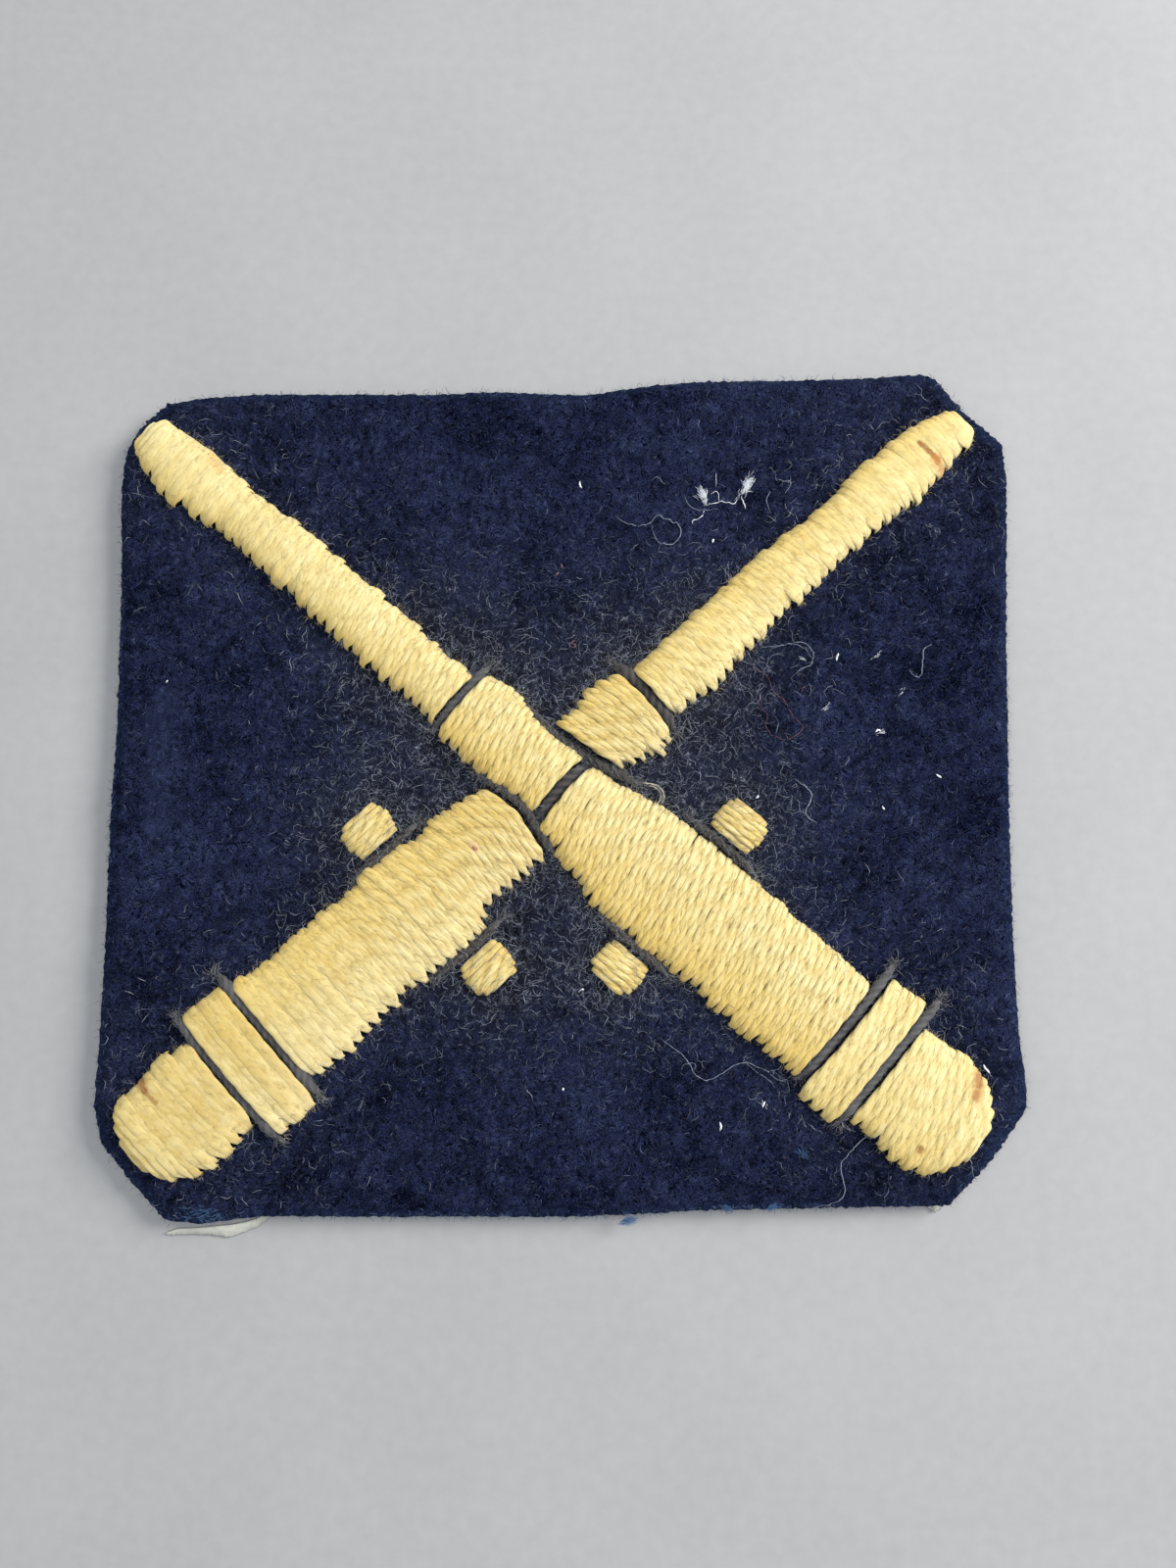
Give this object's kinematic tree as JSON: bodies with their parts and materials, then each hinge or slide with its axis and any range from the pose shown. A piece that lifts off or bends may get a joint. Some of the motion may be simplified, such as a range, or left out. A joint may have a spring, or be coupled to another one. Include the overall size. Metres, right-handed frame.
{
  "type": "crossed-cannons cloth patch",
  "caption": "Square navy wool cloth patch with clipped corners and crossed cannon barrels in padded gold satin stitch, outlined by thin dark cords, on a paper backing.",
  "frame": {"origin": "on the patch's lowest face, under the middle of the ground cloth's outline", "axes": "+Z out of the embroidered face, -Z is the outward normal of the back; +X to the right across the patch as the picture shows it, along its longer side; +Y up the patch"},
  "size_m": [0.0728, 0.0695, 0.003],
  "materials": {
    "navy_wool": "matte",
    "backing_paper": "matte",
    "gold_cotton": "satin",
    "slate_cord": "matte"
  },
  "bodies": {
    "root": {"ground_cloth": "navy_wool", "paper_backing": "backing_paper", "over_chase": "gold_cotton", "over_reinforce": "gold_cotton", "over_body": "gold_cotton", "over_base_ring": "gold_cotton", "over_breech": "gold_cotton", "over_trunnion_upper": "gold_cotton", "over_trunnion_lower": "gold_cotton", "under_chase": "gold_cotton", "under_reinforce": "gold_cotton", "under_body": "gold_cotton", "under_base_ring": "gold_cotton", "under_breech": "gold_cotton", "under_trunnion_upper": "gold_cotton", "under_trunnion_lower": "gold_cotton", "over_chase_cord": "slate_cord", "over_body_cord": "slate_cord", "over_ring_cord_front": "slate_cord", "over_ring_cord_rear": "slate_cord", "over_trunnion_cord_upper": "slate_cord", "over_trunnion_cord_lower": "slate_cord", "under_chase_cord": "slate_cord", "under_ring_cord_front": "slate_cord", "under_ring_cord_rear": "slate_cord", "under_trunnion_cord_upper": "slate_cord", "under_trunnion_cord_lower": "slate_cord", "crossing_cord_upper": "slate_cord", "crossing_cord_lower": "slate_cord"}
  },
  "joints": []
}
